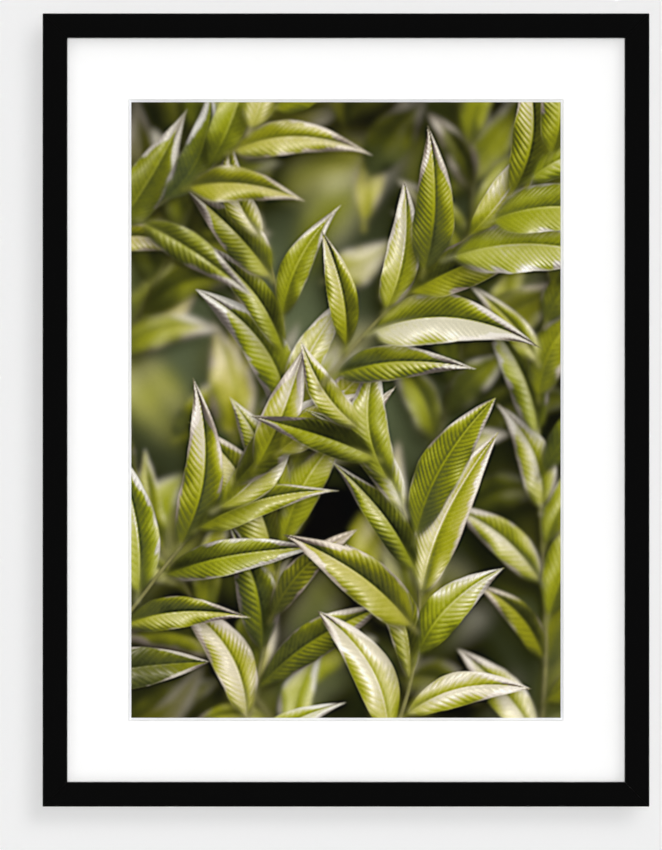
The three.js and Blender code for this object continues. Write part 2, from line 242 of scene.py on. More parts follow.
# Inks, from the darkest ground through the leaf greens to the pale margins.
GREENS = np.array([linear(c)[:3] for c in ("050402", "2d2e0b", "60630f", "9da01c", "c1bc60", "ddd5bd")])
GREEN_TONES = [0, 0.14, 0.36, 0.62, 0.84, 1.05]
GROUND = GREENS[0]
TEAL_DARK, TEAL, LILAC, PALE = (np.array(linear(c)[:3]) for c in ("2b3524", "6f7b5c", "d0bcb9", "f0e9de"))

# Daylight from the upper right, and halfway between it and the eye, as (across, up, towards the eye).
DAYLIGHT = np.array([0.42, 0.58, 0.70])
DAYLIGHT /= np.linalg.norm(DAYLIGHT)
HALFWAY = DAYLIGHT + [0, 0, 1]
HALFWAY /= np.linalg.norm(HALFWAY)
NOISE_CELLS = 64  # along each side, before the noise repeats
CELL_NOISE = np.random.default_rng(5).random((NOISE_CELLS, NOISE_CELLS))


def fade(low, high, x):
    """0 below low and 1 above high, with a smooth S between them."""
    t = np.clip((x - low) / (high - low), 0, 1)
    return t * t * (3 - 2 * t)


def noise(x, y):
    """Value noise from 0 to 1: a random number at each whole (x, y), spread smoothly between them."""
    column, row = np.floor(x).astype(int), np.floor(y).astype(int)
    fx, fy = fade(0, 1, x - column), fade(0, 1, y - row)
    (left, right), (low, high) = ((at % NOISE_CELLS, (at + 1) % NOISE_CELLS) for at in (column, row))
    below = CELL_NOISE[left, low] * (1 - fx) + CELL_NOISE[right, low] * fx
    above = CELL_NOISE[left, high] * (1 - fx) + CELL_NOISE[right, high] * fx
    return below * (1 - fy) + above * fy


GAUSSIAN_REACH = 2.6  # spreads, past which a Gaussian is cut off


def blurred(field, spread):
    """The field under a Gaussian of that spread in mm: weighted sums of copies shifted along each axis."""
    spread = spread / CELL
    reach = int(np.ceil(GAUSSIAN_REACH * spread))
    weights = np.exp(-0.5 * (np.arange(-reach, reach + 1) / spread) ** 2)
    weights /= weights.sum()
    for axis in (0, 1):
        padding = [(0, 0)] * field.ndim
        padding[axis] = (reach, reach)
        wide = np.moveaxis(np.pad(field, padding, mode="edge"), axis, 0)
        count = field.shape[axis]
        field = np.moveaxis(sum(w * wide[i:i + count] for i, w in enumerate(weights)), 0, axis)
    return field


def green(tone):
    """The leaf green of each tone: straight lines between the inks, channel by channel."""
    return np.stack([np.interp(tone, GREEN_TONES, GREENS[:, channel]) for channel in range(3)], -1)


def patch(low, high):
    """The rows and columns of the sheet between two corners in mm, or None where they hold too little."""
    c0, c1 = np.searchsorted(across, (low[0], high[0]))
    r0, r1 = np.searchsorted(up, (low[1], high[1]))
    return (slice(r0, r1), slice(c0, c1)) if min(c1 - c0, r1 - r0) > 4 else None


STALK = 0.07  # of a leaf's length
STALK_HALF_WIDTH = 1.15  # mm
SOFT_EDGE = 1.3 * CELL  # mm over which an edge fades out
VEIN_SLANT, VEIN_CURVE = 0.80, 0.30  # mm forward for each mm out from the midrib, and more at the margin
VEIN_WIDTH = 0.62  # mm


def leaf(root, heading, length, half_width, side, light, variegation, pale_tip, coolness):
    """One leaf as (patch, colour, coverage, share of its length).

    Its midrib is a parabola from root to tip. The blade's half width is a power of the share run times
    a power of the share left, so it swells early and tapers to a point. Its form is a height above the
    sheet: a fold along the midrib, a bulge on each side, an arch along the leaf, a waved margin, and a
    pillow, the size of a sine, between each two side veins, which slant forward from the midrib. The
    slopes of that height against the daylight give the tone, and the tone picks the green. Pale streaks
    run in from the margin between the veins, further towards the tip.

    side, 1 or -1, is the way it bends. light scales its tones, coolness is how teal the dark ones are,
    and variegation and pale_tip are how far the pale streaks run in.
    """
    bend = -side * chance.uniform(0.04, 0.17)
    fold = chance.uniform(-0.15, 0.55)
    lean = chance.normal(0, 0.25, 2)
    arch = 0.25 + 0.65 * chance.uniform(0, 0.9)
    swell, taper = chance.uniform(0.5, 0.8), chance.uniform(0.95, 1.45)
    k1, k2, k3 = chance.random(3) * 50  # where this leaf reads the noise
    vein_step, quilt = chance.uniform(4.6, 6.6), chance.uniform(0.35, 1.0)

    # Where each point lies: the run along the leaf, and how far off its curved midrib, in mm.
    toward = np.array([np.cos(heading), np.sin(heading)])
    ends = np.stack([root, root + length * toward])
    spare = half_width * 1.2 + abs(bend) * length + 3
    found = patch(ends.min(0) - spare, ends.max(0) + spare)
    if found is None:
        return None
    dx, dz = across[None, found[1]] - root[0], up[found[0], None] - root[1]
    run = dx * toward[0] + dz * toward[1]
    u = run / length
    off = dz * toward[0] - dx * toward[1]
    off = off - 4 * bend * length * u * (1 - u) + 0.12 * side * length * np.clip(u - 0.55, 0, 1) ** 2

    # The outline, from the stalk on.
    s = np.clip((u - STALK) / (1 - STALK), 1e-3, 1 - 1e-3)
    widest = swell / (swell + taper)
    width = half_width * (s / widest) ** swell * ((1 - s) / (1 - widest)) ** taper
    width = width * (1 + 0.12 * (noise(s * 5 + k1, 0 * s + k2) - 0.5)
                     + 0.05 * (noise(s * 14 + k2, 0 * s + k3) - 0.5))
    width = np.maximum(width, STALK_HALF_WIDTH * fade(0.2, 0.1, u))
    v = np.clip(off / np.maximum(width, 0.4), -1.5, 1.5)
    rim = np.clip(np.abs(v), 0, 1)
    inside = np.minimum(width - np.abs(off), np.minimum(run, length - run))
    coverage = np.clip(0.5 + inside / SOFT_EDGE, 0, 1)

    # The side veins, and the height of the blade in mm.
    along_veins = run - (VEIN_SLANT + VEIN_CURVE * rim) * np.abs(off) + 1.2 * noise(run / 13 + k3, v + k1)
    step = along_veins / vein_step + 0.5 * (off > 0)
    from_vein = np.abs(step - np.round(step)) * vein_step * 0.75
    blade = fade(0.0, 0.22, rim) * fade(1.0, 0.80, rim)
    vein = np.exp(-(from_vein / VEIN_WIDTH) ** 2) * blade
    pillow = np.abs(np.sin(np.pi * step)) ** 0.8 * blade
    wave = 1.6 * np.sin(2 * np.pi * (1.9 * u + k1 + 0.25 * (v > 0)))
    wave = wave + 0.5 * np.sin(2 * np.pi * (4.3 * u + k2))
    height = fold * np.sqrt(off * off + 1.2) + 0.16 * half_width * np.sin(0.9 * np.pi * rim)
    height = height + 0.10 * half_width * rim ** 2 * wave
    height = height - arch * length * (np.clip(u, 0, 1.1) - 0.40) ** 2
    height = height + 3.0 * (noise(u * 3 + k2, v * 0.9 + k3) - 0.5)
    height = height + 0.55 * quilt * pillow + lean[0] * dx + lean[1] * dz
    slope_z, slope_x = np.gradient(height, CELL)
    steepness = np.sqrt(slope_x ** 2 + slope_z ** 2 + 1)
    lit = np.clip((DAYLIGHT[2] - slope_x * DAYLIGHT[0] - slope_z * DAYLIGHT[1]) / steepness, 0, 1)
    gleam = np.clip((HALFWAY[2] - slope_x * HALFWAY[0] - slope_z * HALFWAY[1]) / steepness, 0, 1)

    # The greens.
    midrib = np.exp(-(off / (0.5 + 0.9 * (1 - s))) ** 2)
    tone = light * (0.22 + 1.32 * lit ** 1.3) + 0.12 * fade(0.1, 0.9, u) - 0.03
    tone = tone + 0.16 * (noise(dx / 26 + k3, dz / 26 + k1) - 0.5)
    tone = tone + 0.07 * (noise(run / 5 + k1, off / 5 + k2) - 0.5) + 0.05 * (noise(dx / 1.7, dz / 1.7) - 0.5)
    groove = np.exp(-((off * side + 1.3 + 0.6 * (1 - s)) / 0.9) ** 2)
    tone = np.clip(tone + (0.20 * midrib - 0.10 * groove + 0.07 * vein) * light, 0, 1.03)
    cool = (coolness * fade(0.50, 0.10, tone))[..., None]
    shadow_green = TEAL_DARK + (TEAL - TEAL_DARK) * np.clip(tone * 2, 0, 1)[..., None]
    colour = green(tone) * (1 - cool) + shadow_green * cool

    # The pale streaks and margin, and the sheen.
    streak = 0.65 * noise(along_veins / 11 + k2, v * 0.6 + k3) + 0.35 * noise(along_veins / 4.5 + k3, v + k1)
    start = 1.03 - variegation * (0.10 + 0.75 * np.clip(streak - 0.32, 0, 1))
    start = start - pale_tip * 1.05 * fade(0.50, 1.0, u) ** 1.2
    margin = (fade(start - 0.02, start + 0.16, rim) * (0.90 - 0.25 * midrib))[..., None]
    glow = np.clip(0.17 + 0.95 * lit ** 1.35 * (0.50 + 0.95 * light), 0.04, 1.1)[..., None]
    cream = (LILAC + (PALE - LILAC) * np.clip(lit * 1.5 - 0.55, 0, 1)[..., None]) * glow
    colour = colour * (1 - margin) + cream * margin
    sheen = (gleam ** 24 * 0.5 + gleam ** 160 * 0.7) * light * (0.3 + 1.2 * noise(run / 8 + k3, off / 8 + k2))
    warmth = np.clip(chance.normal(-0.01, 0.03), -0.07, 0.05)
    colour = colour * [1 + warmth, 1, 1 - warmth]
    return found, colour + sheen[..., None] * PALE, coverage, u


def on_path(path, share):
    """The point and the heading at that share of a cubic Bezier through four control points."""
    p = np.array(path, float)
    left = 1 - share
    at = left ** 3 * p[0] + 3 * left ** 2 * share * p[1] + 3 * left * share ** 2 * p[2] + share ** 3 * p[3]
    way = left ** 2 * (p[1] - p[0]) + 2 * left * share * (p[2] - p[1]) + share ** 2 * (p[3] - p[2])
    return at, np.arctan2(way[1], way[0])


def stem(path, root_radius, light):
    """The stem of a spray as (patch, colour, coverage, share): a round rod, tapering along its path.

    Each point takes the nearest of the short straight lengths that the path is cut into, and its
    distance from that length, as a share of the rod's radius, gives the turn of its surface.
    """
    shares = np.linspace(0, 1, 90)
    knots = np.array([on_path(path, share)[0] for share in shares])
    found = patch(knots.min(0) - 4, knots.max(0) + 4)
    if found is None:
        return None
    x, z = np.meshgrid(across[found[1]], up[found[0]])
    nearest, off, at = np.full(x.shape, 1e9), np.zeros(x.shape), np.zeros(x.shape)
    aside = np.zeros((*x.shape, 2))
    for i, (start, end) in enumerate(zip(knots[:-1], knots[1:])):
        span = np.hypot(*(end - start))
        way = (end - start) / span
        ax, az = x - start[0], z - start[1]
        run = np.clip(ax * way[0] + az * way[1], 0, span)
        distance = np.hypot(ax - run * way[0], az - run * way[1])
        near = distance < nearest
        nearest = np.where(near, distance, nearest)
        off = np.where(near, az * way[0] - ax * way[1], off)
        at = np.where(near, shares[i] + run / span / len(shares), at)
        aside = np.where(near[..., None], [-way[1], way[0]], aside)
    radius = root_radius * (1.15 - 0.6 * at)
    turn = np.clip(off / radius, -1, 1)
    lit = turn * (aside @ DAYLIGHT[:2]) + np.sqrt(1 - 0.95 * turn ** 2) * DAYLIGHT[2]
    lit = np.clip(lit, 0, 1)
    tone = light * (0.25 + 0.9 * lit) + 0.08 * (noise(at * 60, turn + 5) - 0.5)
    colour = 0.6 * green(tone) + 0.48 * light * (0.1 + 0.8 * lit[..., None]) * LILAC
    return found, colour, np.clip(0.5 + (radius - nearest) / SOFT_EDGE, 0, 1), at


def cast_shadow(picture, found, coverage, drop, spread, depth):
    """Darkens what lies under a leaf: its coverage, moved by the drop, blurred and taken off the light."""
    spare = int(3 * spread / CELL + max(map(abs, drop)) / CELL) + 2
    field = np.pad(coverage, spare)
    shift = [int(round(d / CELL)) for d in drop[::-1]]
    field = blurred(np.roll(field, shift, (0, 1)), spread)
    r0, c0 = found[0].start - spare, found[1].start - spare
    r1, c1 = min(r0 + field.shape[0], picture.shape[0]), min(c0 + field.shape[1], picture.shape[1])
    top, left = max(r0, 0), max(c0, 0)
    picture[top:r1, left:c1] *= 1 - depth * field[top - r0:r1 - r0, left - c0:c1 - c0, None]


SOFT_ROOT = (0.40, 1.6, 2.0)  # the share of a leaf that softens to its root, how much, and mm at least


def lay(picture, made, softness, shadows):
    """Lays a leaf or stem over the picture, with its shadows, and softer towards its root."""
    found, colour, coverage, share = made
    for drop, spread, depth in shadows:
        cast_shadow(picture, found, coverage, drop, spread, depth)
    laid = np.concatenate([colour, np.ones_like(colour[..., :1])], -1) * coverage[..., None]
    root_share = fade(SOFT_ROOT[0], 0.0, share)[..., None]
    root_softness = max(SOFT_ROOT[2], SOFT_ROOT[1] * softness)
    laid = blurred(laid, softness) * (1 - root_share) + blurred(laid, root_softness) * root_share
    picture[found] = picture[found] * (1 - laid[..., 3:]) + laid[..., :3]


SHADOW_IN_LAYER = ((-4, -6), 4, 0.5)  # drop and spread in mm, and depth


def lay_out_of_focus(picture, leaves, softness, lift, depth):
    """Lays a whole layer of leaves through one blur, over the wide shadow that the layer casts."""
    layer = np.zeros((*picture.shape[:2], 4))
    for found, colour, coverage, _ in filter(None, leaves):
        cast_shadow(layer[..., :3], found, coverage, *SHADOW_IN_LAYER)
        laid = np.concatenate([colour, np.ones_like(colour[..., :1])], -1) * coverage[..., None]
        layer[found] = layer[found] * (1 - coverage[..., None]) + laid
    layer = blurred(layer, softness)
    shift = [-int(lift * 1.3 / CELL), -int(lift / CELL)]
    under = blurred(np.roll(layer[..., 3:], shift, (0, 1)), lift)
    return picture * (1 - depth * under) * (1 - layer[..., 3:]) + layer[..., :3]


def undergrowth(count, length, half_width, light, variegation, coolness):
    """Leaves strewn over the sheet, leaning up and to the right, a little more upright at the left.

    Length, width, light and variegation are the middle of what each leaf draws.
    """
    for _ in range(count):
        root = np.array([chance.uniform(-0.66, 0.55) * sheet_size[0],
                         chance.uniform(-0.62, 0.5) * sheet_size[2]])
        heading = 0.85 - 0.0022 * root[0] + 0.001 * root[1] + chance.normal(0, 0.6)
        yield leaf(root, heading, length * chance.uniform(0.7, 1.35), half_width * chance.uniform(0.8, 1.3),
                   chance.choice((-1, 1)), light + chance.normal(0, 0.09),
                   np.clip(variegation + chance.normal(0, 0.25), 0, 1), chance.uniform(0.2, 1.0), coolness)


def spray(path, count, length, half_width, light):
    """The leaves of one stem, root to tip: left and right by turns, longest past the middle.

    They close towards the tip, where the last one carries on the stem's own line.
    """
    for i in range(count):
        share = (i + 0.35) / (count - 0.3)
        root, way = on_path(path, min(share, 1))
        side = 1 if i % 2 else -1
        size = (0.80 + 0.45 * np.sin(np.pi * (0.15 + 0.8 * share))) * chance.uniform(0.8, 1.2)
        opening = 0 if i == count - 1 else side * 0.85 * (1 - 0.45 * share) + chance.normal(0, 0.20)
        yield leaf(root, way + opening, length * size, half_width * size * chance.uniform(0.8, 1.2), side,
                   light + chance.normal(0, 0.11), np.clip(0.45 + chance.normal(0, 0.3), 0, 1),
                   np.clip(1.05 + chance.normal(0, 0.35), 0, 1.5), 0.30 * chance.uniform(0.3, 1.5))


# The ground is dark, with a teal haze in two soft patches. Each has a middle and a size in mm, and a
# strength.
HAZE = [((-70, 90), (110, 120), 1.0), ((120, -60), (90, 110), 0.6)]
x, z = np.meshgrid(across, up)
haze = sum(strength * np.exp(-((x - middle[0]) / size[0]) ** 2 - ((z - middle[1]) / size[1]) ** 2)
           for middle, size, strength in HAZE)
haze = np.clip(haze + 0.8 * (noise(x / 90 + 3, z / 90 + 9) - 0.5), 0, 1)[..., None]
picture = 0.8 * GROUND * (1 - haze) + 0.8 * TEAL * haze

# Each layer out of focus: its leaves' count, length, half width, light, variegation and coolness, then
# its softness, its height over what lies below and the depth of its shadow. Broad shade lies over both.
LAYERS = [
    (60, 120, 17, 0.30, 0.3, 0.7, 7.0, 12, 0.3),
    (60, 100, 14, 0.54, 0.4, 0.5, 2.6, 9, 0.5),
]
for *leaves, softness, lift, depth in LAYERS:
    picture = lay_out_of_focus(picture, undergrowth(*leaves), softness, lift, depth)
BROAD_SHADE = (95, 0.78)  # mm across, and its depth
sunny = fade(0.30, 0.62, noise(x / BROAD_SHADE[0] + 7.3, z / BROAD_SHADE[0] + 2.1))
picture = picture * (1 - BROAD_SHADE[1] * (1 - sunny))[..., None]

# Each spray: its stem's path in mm from the sheet's middle, its leaves' count, length and half width,
# its softness and its light.
SPRAYS = [
    ([(-200, 30), (-150, 100), (-110, 180), (-120, 290)], 11, 84, 11, 2.6, 0.40),
    ([(60, -60), (100, 40), (120, 120), (90, 300)], 13, 82, 11, 2.2, 0.44),
    ([(-30, -290), (-120, -190), (-160, -80), (-230, 20)], 12, 84, 11, 1.6, 0.46),
    ([(150, -320), (185, -160), (135, -40), (170, 110)], 14, 92, 12, 1.1, 0.52),
    ([(-90, -300), (-60, -160), (-20, -20), (-70, 150)], 15, 104, 13, 0.6, 0.57),
    ([(-220, 130), (-140, 170), (-70, 220), (-10, 310)], 12, 92, 12, 0.9, 0.52),
    ([(-230, -230), (-150, -140), (-120, -70), (-30, -20)], 12, 100, 13, 0.45, 0.60),
    ([(20, -310), (70, -210), (80, -110), (10, -10)], 13, 108, 14, 0.45, 0.60),
    ([(-20, 20), (40, 100), (110, 140), (190, 230)], 13, 106, 14, 0.45, 0.63),
]
STEM_RADIUS = 1.7  # mm, near the root
STEM_SHADOW = [((-3, -5), 2.0, 0.5)]
LEAF_SHADOWS = [((-7, -10), 4.0, 0.45), ((-2, -3), 1.6, 0.4)]  # a wide one and one close in
for path, count, length, half_width, softness, light in SPRAYS:
    lay(picture, stem(path, STEM_RADIUS, light), softness, STEM_SHADOW)
    for made in filter(None, spray(path, count, length, half_width, light)):
        lay(picture, made, softness, LEAF_SHADOWS)

# The lightest tones are held back, the picture is sharpened for the paper, and a fine grain shows in it.
LIFT, SHOULDER = 1.035, 0.14
SHARPENING, EDGE = 0.8, 0.9  # EDGE in mm
GRAIN = 0.03  # of each point's light
picture = picture * (LIFT - SHOULDER * picture)
picture = picture + SHARPENING * (picture - blurred(picture, EDGE))
picture = picture * (1 + GRAIN * chance.standard_normal(picture.shape[:2])[..., None])

PAPER_WHITE = 0.86  # of the light, sent back by bare paper
INK_BLACK = 0.0008  # and by the deepest black
BALANCE = (1.06, 1.03, 1.0)  # of red, green and blue
BLUE_VEIL = (0, 0, 0.008)  # taken off here, because the paper's own lustre adds it back
inks = np.clip(picture * BALANCE * PAPER_WHITE - BLUE_VEIL, INK_BLACK, PAPER_WHITE)

LUSTRE = (0.8, 0.01)  # mm across and deep, the pebbling of lustre paper
material, tree = new_material("pigment_print_on_lustre_paper")
place = add(tree, "TexCoord").outputs["Object"]
ink = add(tree, "Attribute", attribute_name="inks", attribute_type="GEOMETRY")
lustre = add(tree, "TexNoise", {"Vector": place, "Scale": 1 / (LUSTRE[0] * MM), "Detail": 3,
                                "Roughness": 0.6})
polish = add(tree, "MapRange", {"Value": lustre.outputs[0], "To Min": 0.36, "To Max": 0.52})
relief = add(tree, "Bump", {"Height": lustre.outputs[0], "Distance": LUSTRE[1] * MM, "Strength": 0.4})
shader = add(tree, "BsdfPrincipled", {"Base Color": ink.outputs["Color"], "Roughness": polish.outputs[0],
                                      "Specular IOR Level": 0.2, "Normal": relief.outputs[0]})
add(tree, "OutputMaterial", {"Surface": shader.outputs[0]})

BACK_RINGS = (0.995, 0.93)  # the inked ring's size and the white one's, against the border's


def paper_quarter(name, column_span, row_span):
    """A closed piece of the sheet: its painted points as a grid, a rim round them, and a plain back.

    The rim slants in a little to a ring of points one sheet's thickness behind the grid's border. That
    ring copies the border's inks, so that where two quarters meet no white shows between them. A band
    runs from it to a smaller white ring, and a fan of triangles from that to the middle.
    """
    c, r = np.arange(column_span[0], column_span[1] + 1), np.arange(row_span[0], row_span[1] + 1)
    grid = np.arange(len(r) * len(c)).reshape(len(r), len(c))
    border = np.concatenate([grid[0, :-1], grid[:-1, -1], grid[-1, :0:-1], grid[:0:-1, 0]])
    xs, zs = np.meshgrid(sheet_middle[0] + across[c], sheet_middle[2] + up[r])
    points = np.stack([xs.ravel(), np.full(xs.size, sheet_low[1]), zs.ravel()], -1)
    behind = points[border] + [0, sheet_size[1], 0]
    centre = behind.mean(0, keepdims=True)
    rings = [centre + (behind - centre) * size for size in BACK_RINGS]
    points = np.concatenate([points, *rings, centre]) * MM
    back = grid.size + np.arange(len(border))
    white = back + len(border)
    after, back_after, white_after = (np.roll(loop, -1) for loop in (border, back, white))
    quads = np.stack([grid[:-1, :-1], grid[:-1, 1:], grid[1:, 1:], grid[1:, :-1]], -1).reshape(-1, 4)
    rim = np.stack([border, back, back_after, after], -1)
    band = np.stack([back_after, back, white, white_after], -1)
    fan = np.stack([white_after, white, np.full(len(white), len(points) - 1)], -1)

    mesh = bpy.data.meshes.new(name)
    corners = np.concatenate([quads.ravel(), rim.ravel(), band.ravel(), fan.ravel()])
    sides = np.repeat([4, 3], [len(quads) + len(rim) + len(band), len(fan)])
    mesh.vertices.add(len(points))
    mesh.vertices.foreach_set("co", points.ravel())
    mesh.loops.add(len(corners))
    mesh.loops.foreach_set("vertex_index", corners)
    mesh.polygons.add(len(sides))
    mesh.polygons.foreach_set("loop_start", np.cumsum(sides) - sides)
    mesh.update(calc_edges=True)
    mesh.shade_flat()
    colours = np.full((len(points), 4), PAPER_WHITE)
    colours[:grid.size, :3] = inks[r[0]:r[-1] + 1, c[0]:c[-1] + 1].reshape(-1, 3)
    colours[back] = colours[border]
    colours[:, 3] = 1
    mesh.attributes.new("inks", "FLOAT_COLOR", "POINT").data.foreach_set("color", colours.ravel())
    piece = bpy.data.objects.new(name, mesh)
    bpy.context.scene.collection.objects.link(piece)
    return piece


for side, column_span in {"left": (0, columns // 2), "right": (columns // 2, columns)}.items():
    for end, row_span in {"bottom": (0, rows // 2), "top": (rows // 2, rows)}.items():
        quarter = paper_quarter(f"print_{end}_{side}", column_span, row_span)
        cover(quarter, material)
        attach(quarter, "root")
        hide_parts("print_sheet")

# --- Mount board ------------------------------------------------------------------------------------
# White foam board behind the print, cut to the rabbet with a knife. Only its edge ever shows, between
# the hardboard and the mat, when the pack is lifted out.
FOAM_CELL = (0.6, 0.05)  # mm across and deep
material, tree = new_material("white_foam_board")
place = add(tree, "TexCoord").outputs["Object"]
foam = add(tree, "TexVoronoi", {"Vector": place, "Scale": 1 / (FOAM_CELL[0] * MM)})
colour = add(tree, "MixRGB", {"Fac": foam.outputs["Distance"], "Color1": linear("f4f3ef"),
                              "Color2": linear("e4e3dd")})
relief = add(tree, "Bump", {"Height": foam.outputs["Distance"], "Distance": FOAM_CELL[1] * MM,
                            "Strength": 0.5})
shader = add(tree, "BsdfPrincipled", {"Base Color": colour.outputs[0], "Roughness": 0.85,
                                      "Normal": relief.outputs[0]})
add(tree, "OutputMaterial", {"Surface": shader.outputs[0]})
cover(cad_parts["mount_board"], material)

# --- Back board -------------------------------------------------------------------------------------
# Tempered hardboard, smooth face out: brown wood fibre pressed hot, so it shows short matted fibres,
# darker flecks of bark and a faint polish from the press plate.
FIBRE = (9, 0.7)  # mm long and thick, drawn a little thicker than the real 0.2 so that they show
LIES = (12, 47, 83, 118, 155)  # degrees, the ways the fibres lie
FIBRE_BEND = (14, 10)  # mm, over what length and how far they bend
FIBRE_RELIEF = 0.04  # mm
MOTTLE = 35  # mm across, where the pulp was thicker or thinner
BARK = 7  # mm between flecks
material, tree = new_material("tempered_hardboard")
place = add(tree, "TexCoord").outputs["Object"]
drift = add(tree, "TexNoise", {"Vector": place, "Scale": 1 / (FIBRE_BEND[0] * MM), "Detail": 2})
bent = add(tree, "VectorMath", {0: drift.outputs["Color"], 1: (FIBRE_BEND[1] * MM,) * 3},
           operation="MULTIPLY")
bent = add(tree, "VectorMath", {0: place, 1: bent.outputs[0]}, operation="ADD")
fibres = None
for turn in LIES:
    turned = add(tree, "Mapping", {"Vector": bent.outputs[0], "Rotation": (0, radians(turn), 0)})
    drawn = add(tree, "Mapping", {"Vector": turned.outputs[0],
                                  "Scale": (1 / (FIBRE[0] * MM), 1 / (FIBRE[1] * MM), 1 / (FIBRE[1] * MM))})
    strands = add(tree, "TexNoise", {"Vector": drawn.outputs[0], "Scale": 1, "Detail": 2, "Roughness": 0.6})
    if fibres:
        strands = add(tree, "Math", {0: fibres.outputs[0], 1: strands.outputs[0]}, operation="MAXIMUM")
    fibres = strands
mottle = add(tree, "TexNoise", {"Vector": place, "Scale": 1 / (MOTTLE * MM), "Detail": 3})
bark = add(tree, "TexVoronoi", {"Vector": place, "Scale": 1 / (BARK * MM), "Randomness": 1})
matted = add(tree, "MapRange", {"Value": fibres.outputs[0], "From Min": 0.50, "From Max": 0.78})
brown = add(tree, "MixRGB", {"Fac": matted.outputs[0], "Color1": linear("593a24"),
                             "Color2": linear("a37b55")})
clouded = add(tree, "MapRange", {"Value": mottle.outputs[0], "From Min": 0.3, "From Max": 0.7,
                                 "To Min": 0.92, "To Max": 1.06})
brown = add(tree, "MixRGB", {"Fac": 1, "Color1": brown.outputs[0], "Color2": clouded.outputs[0]},
            blend_type="MULTIPLY")
fleck = add(tree, "MapRange", {"Value": bark.outputs["Distance"], "From Min": 0.07, "From Max": 0.15,
                               "To Min": 0.75, "To Max": 0})
colour = add(tree, "MixRGB", {"Fac": fleck.outputs[0], "Color1": brown.outputs[0],
                              "Color2": linear("35210f")})
polish = add(tree, "MapRange", {"Value": fibres.outputs[0], "To Min": 0.42, "To Max": 0.62})
relief = add(tree, "Bump", {"Height": fibres.outputs[0], "Distance": FIBRE_RELIEF * MM, "Strength": 0.6})
shader = add(tree, "BsdfPrincipled", {"Base Color": colour.outputs[0], "Roughness": polish.outputs[0],
                                      "Normal": relief.outputs[0]})
add(tree, "OutputMaterial", {"Surface": shader.outputs[0]})
cover(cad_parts["back_board"], material)

# --- Fixings ----------------------------------------------------------------------------------------
# The tabs, V-nails, sawtooth hanger and its nails are pressed from zinc-plated steel: cool grey, with the
# faint crystal patches of the plating and fine lines from the rolled strip.
SPANGLE = 1.6  # mm across
ROLLING = (6, 0.12, 0.01)  # mm long, wide and deep
material, tree = new_material("zinc_plated_steel")
place = add(tree, "TexCoord").outputs["Object"]
spangle = add(tree, "TexVoronoi", {"Vector": place, "Scale": 1 / (SPANGLE * MM)})
patches = add(tree, "SeparateColor", {"Color": spangle.outputs["Color"]})
rolled = add(tree, "Mapping", {"Vector": place, "Scale": (1 / (ROLLING[0] * MM), 1 / (ROLLING[1] * MM),
                                                          1 / (ROLLING[1] * MM))})
lines = add(tree, "TexNoise", {"Vector": rolled.outputs[0], "Scale": 1, "Detail": 3})
colour = add(tree, "MixRGB", {"Fac": patches.outputs[0], "Color1": linear("b3b7ba"),
                              "Color2": linear("cfd1d0")})
polish = add(tree, "MapRange", {"Value": patches.outputs[0], "To Min": 0.26, "To Max": 0.44})
relief = add(tree, "Bump", {"Height": lines.outputs[0], "Distance": ROLLING[2] * MM, "Strength": 0.5})
shader = add(tree, "BsdfPrincipled", {"Base Color": colour.outputs[0], "Metallic": 1,
                                      "Roughness": polish.outputs[0], "Normal": relief.outputs[0]})
add(tree, "OutputMaterial", {"Surface": shader.outputs[0]})
for name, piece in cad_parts.items():
    if name.startswith(("tab_", "v_nail_", "hanger_nail_", "sawtooth_")):
        cover(piece, material)

# --- Bumpers ----------------------------------------------------------------------------------------
# Soft polyurethane domes, cast clear and stuck under the rails' back corners. They are cloudy inside
# and pick up a little dust, so they look like pale, faintly warm wax.
DUST = 0.7  # mm
CLOUDINESS = 2  # mm that light goes before it is scattered
material, tree = new_material("cast_polyurethane")
place = add(tree, "TexCoord").outputs["Object"]
dust = add(tree, "TexNoise", {"Vector": place, "Scale": 1 / (DUST * MM), "Detail": 4, "Roughness": 0.7})
colour = add(tree, "MixRGB", {"Fac": dust.outputs[0], "Color1": linear("c9c6bb"), "Color2": linear("e4e1d8")})
polish = add(tree, "MapRange", {"Value": dust.outputs[0], "To Min": 0.22, "To Max": 0.5})
shader = add(tree, "BsdfPrincipled", {"Base Color": colour.outputs[0], "Roughness": polish.outputs[0],
                                      "Subsurface Weight": 0.4, "Subsurface Scale": CLOUDINESS * MM,
                                      "Subsurface Radius": (1, 0.95, 0.85)})
add(tree, "OutputMaterial", {"Surface": shader.outputs[0]})
for name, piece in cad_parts.items():
    if name.startswith("bumper_"):
        cover(piece, material)

# --- Wall and floor ---------------------------------------------------------------------------------
# A plain pale wall that the bumpers rest on, and a plain pale floor below. Both are clear from behind,
# and the wall lets the rear lamps through where the frame covers it, so that the back can be looked at.
# An unseen shade, as large as the frame and level with its face, gives the wall lamp a shadow to throw.
WALL = 4.0  # m square
WALL_GAP = 0.2  # mm behind the bumpers
FLOOR = 24.0  # m square
FLOOR_DROP = 1.6  # m below the frame's bottom edge, as a picture hangs at eye level
UNEVENNESS = 0.4  # m across, the roller's faint patches


def square(name, middle, right, top):
    """A flat stage piece from its middle and its two half sides: the middle plus and minus each of them."""
    middle, right, top = Vector(middle), Vector(right), Vector(top)
    mesh = bpy.data.meshes.new(name)
    mesh.from_pydata([middle - right - top, middle + right - top, middle + right + top,
                      middle - right + top], [], [(0, 1, 2, 3)])
    made = bpy.data.objects.new(name, mesh)
    bpy.context.scene.collection.objects.link(made)
    made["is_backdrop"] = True
    return made


